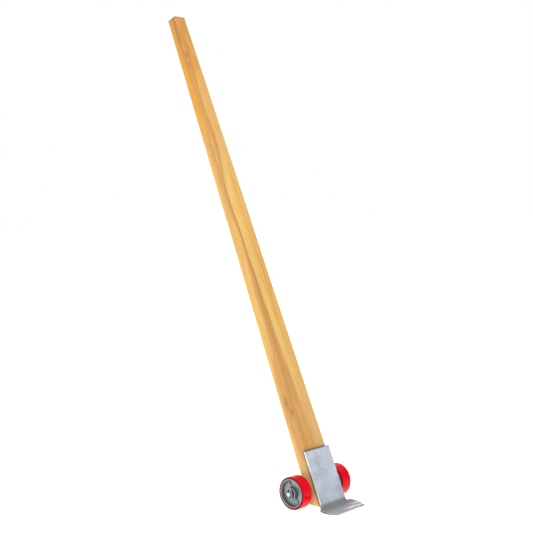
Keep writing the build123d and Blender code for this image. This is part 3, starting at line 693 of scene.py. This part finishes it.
def add_stud(mesh, start, length):
    """A plain shank and a helical thread, with a chamfered end and flat caps."""
    turns = math.ceil(THREAD_LENGTH / THREAD_PITCH) + 1
    low = length - THREAD_LENGTH - THREAD_PITCH
    rows = [(low + THREAD_PITCH * (turn + share), radius)
            for turn in range(turns + 1) for share, radius in THREAD_PROFILE]
    rings = [[thread_point(column, along, radius, length) for column in range(THREAD_COLUMNS)]
             for along, radius in rows]
    shank = [Vector((point.x, point.y, 0)) * (STUD_RADIUS / point.xy.length) for point in rings[0]]
    turn = Vector((0, 0, 1)).rotation_difference(OUT_OF_BACK)
    made = [[mesh.verts.new(start + turn @ point) for point in ring] for ring in [shank] + rings]
    rows_in_turn = len(THREAD_PROFILE)
    for row in range(len(made) - 1):
        for column in range(THREAD_COLUMNS):
            after = column + 1
            shift = 0
            if after == THREAD_COLUMNS:
                after = 0
                shift = rows_in_turn if row else 0
            if row + 1 + shift < len(made):
                mesh.faces.new((made[row][column], made[row + shift][after],
                                made[row + 1 + shift][after], made[row + 1][column]))
    mesh.faces.new(made[0])
    mesh.faces.new(made[-1])


def threaded_studs(name, finish):
    """A node's studs with real threads, in place of its plain rods."""
    mesh = bmesh.new()
    for start, length in studs_of(name):
        add_stud(mesh, start, length)
    bmesh.ops.remove_doubles(mesh, verts=mesh.verts, dist=MERGE_DISTANCE)
    bmesh.ops.dissolve_degenerate(mesh, edges=mesh.edges, dist=MERGE_DISTANCE)
    bmesh.ops.recalc_face_normals(mesh, faces=mesh.faces)
    data = bpy.data.meshes.new(name + "_threaded")
    mesh.to_mesh(data)
    mesh.free()
    piece = bpy.data.objects.new(name + "_threaded", data)
    bpy.context.scene.collection.objects.link(piece)
    data.materials.append(finish)
    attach(piece, "root")
    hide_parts(name)


# ------------------------------------------------------------------ floor, light and camera
FLOOR_SIZE = 80.0
FLOOR_GLOW = 0.75
SURROUND_LIGHT = 0.34
BACKDROP_LIGHT = 1.30
BACKDROP_WAY = (0.72, 0.69, 0.15)       # behind the object, as the camera sees it
BACKDROP_SPREAD = 62                    # degrees from the middle of the backdrop to its edge
CAMERA_AZIMUTH = math.radians(-46.04)
CAMERA_ELEVATION = math.radians(3.69)
CAMERA_ROLL = math.radians(-1.32)
CAMERA_DISTANCE = 4.188
CAMERA_LENS = 70.0
CAMERA_TARGET = AXLE + Vector((0, 0.240, 0.8578))


def make_floor():
    """A plain pale floor."""
    mesh = bpy.data.meshes.new("floor")
    half = FLOOR_SIZE / 2
    corners = [(-half, -half, 0), (half, -half, 0), (half, half, 0), (-half, half, 0)]
    mesh.from_pydata(corners, [], [(0, 1, 2, 3)])
    floor = bpy.data.objects.new("floor", mesh)
    bpy.context.scene.collection.objects.link(floor)
    material = bpy.data.materials.new("floor")
    material.use_nodes = True
    shader = material.node_tree.nodes["Principled BSDF"]
    shader.inputs["Base Color"].default_value = (0.93, 0.93, 0.93, 1)
    shader.inputs["Roughness"].default_value = 0.9
    shader.inputs["Emission Color"].default_value = (1, 1, 1, 1)
    shader.inputs["Emission Strength"].default_value = FLOOR_GLOW
    mesh.materials.append(material)


def soft_light(name, place, aim, size, power):
    """A square softbox that points from place to aim."""
    light = bpy.data.lights.new(name, "AREA")
    light.shape = "SQUARE"
    light.size = size
    light.energy = power
    lamp = bpy.data.objects.new(name, light)
    lamp.location = place
    lamp.rotation_euler = (Vector(aim) - Vector(place)).to_track_quat("-Z", "Y").to_euler()
    bpy.context.scene.collection.objects.link(lamp)


def make_world():
    """White behind the object. The light that it gives is dim, but for a bright backdrop."""
    world = bpy.data.worlds.new("studio")
    world.use_nodes = True
    tree = world.node_tree
    background = tree.nodes["Background"]
    background.inputs["Color"].default_value = (1.0, 1.0, 1.0, 1)
    way = tree.nodes.new("ShaderNodeTexCoord").outputs["Generated"]
    towards = tree.nodes.new("ShaderNodeVectorMath")
    towards.operation = "DOT_PRODUCT"
    tree.links.new(way, towards.inputs[0])
    towards.inputs[1].default_value = Vector(BACKDROP_WAY).normalized()
    glow = tree.nodes.new("ShaderNodeMapRange")
    glow.interpolation_type = "SMOOTHSTEP"
    glow.inputs["From Min"].default_value = math.cos(math.radians(BACKDROP_SPREAD))
    glow.inputs["To Min"].default_value = SURROUND_LIGHT
    glow.inputs["To Max"].default_value = BACKDROP_LIGHT
    tree.links.new(towards.outputs["Value"], glow.inputs["Value"])
    seen = tree.nodes.new("ShaderNodeLightPath")
    strength = tree.nodes.new("ShaderNodeMapRange")
    tree.links.new(seen.outputs["Is Camera Ray"], strength.inputs["Value"])
    tree.links.new(glow.outputs[0], strength.inputs["To Min"])
    tree.links.new(strength.outputs[0], background.inputs["Strength"])
    bpy.context.scene.world = world


def sun(name, towards, power, spread):
    """A far, soft light in the direction towards, that many degrees wide."""
    light = bpy.data.lights.new(name, "SUN")
    light.energy = power
    light.angle = math.radians(spread)
    lamp = bpy.data.objects.new(name, light)
    lamp.rotation_euler = Vector(towards).to_track_quat("Z", "Y").to_euler()
    bpy.context.scene.collection.objects.link(lamp)


def make_light():
    """A wide key from the upper left, a weaker fill from the front, and a top light."""
    make_world()
    sun("key", towards=(-0.85, -0.35, 0.95), power=1.17, spread=35)
    sun("front_fill", towards=(-0.40, -1.00, 0.06), power=0.88, spread=40)
    soft_light("top", place=(0.2, 0.5, 3.6), aim=(0, 0.15, 0.1), size=1.6, power=30)
    bpy.context.scene.view_settings.view_transform = "Standard"


def make_camera():
    """The camera of the reference view: to the front left, 1.2 m above the floor."""
    data = bpy.data.cameras.new("camera")
    data.lens = CAMERA_LENS
    data.sensor_width = 36.0
    camera = bpy.data.objects.new("camera", data)
    flat = math.cos(CAMERA_ELEVATION)
    back = Vector((math.sin(CAMERA_AZIMUTH) * flat, -math.cos(CAMERA_AZIMUTH) * flat,
                   math.sin(CAMERA_ELEVATION)))
    camera.location = CAMERA_TARGET + back * CAMERA_DISTANCE
    aim = (-back).to_track_quat("-Z", "Y").to_matrix().to_4x4()
    roll = Euler((0, 0, CAMERA_ROLL)).to_matrix().to_4x4()
    camera.rotation_euler = (aim @ roll).to_euler()
    bpy.context.scene.collection.objects.link(camera)
    bpy.context.scene.camera = camera


make_camera()
make_floor()
make_light()
finishes = {name: make() for name, make in MATERIALS.items()}
dress_cad_nodes(finishes)
threaded_studs("saddle_studs", finishes["zinc_hardware"])
threaded_studs("upper_studs", finishes["zinc_hardware"])
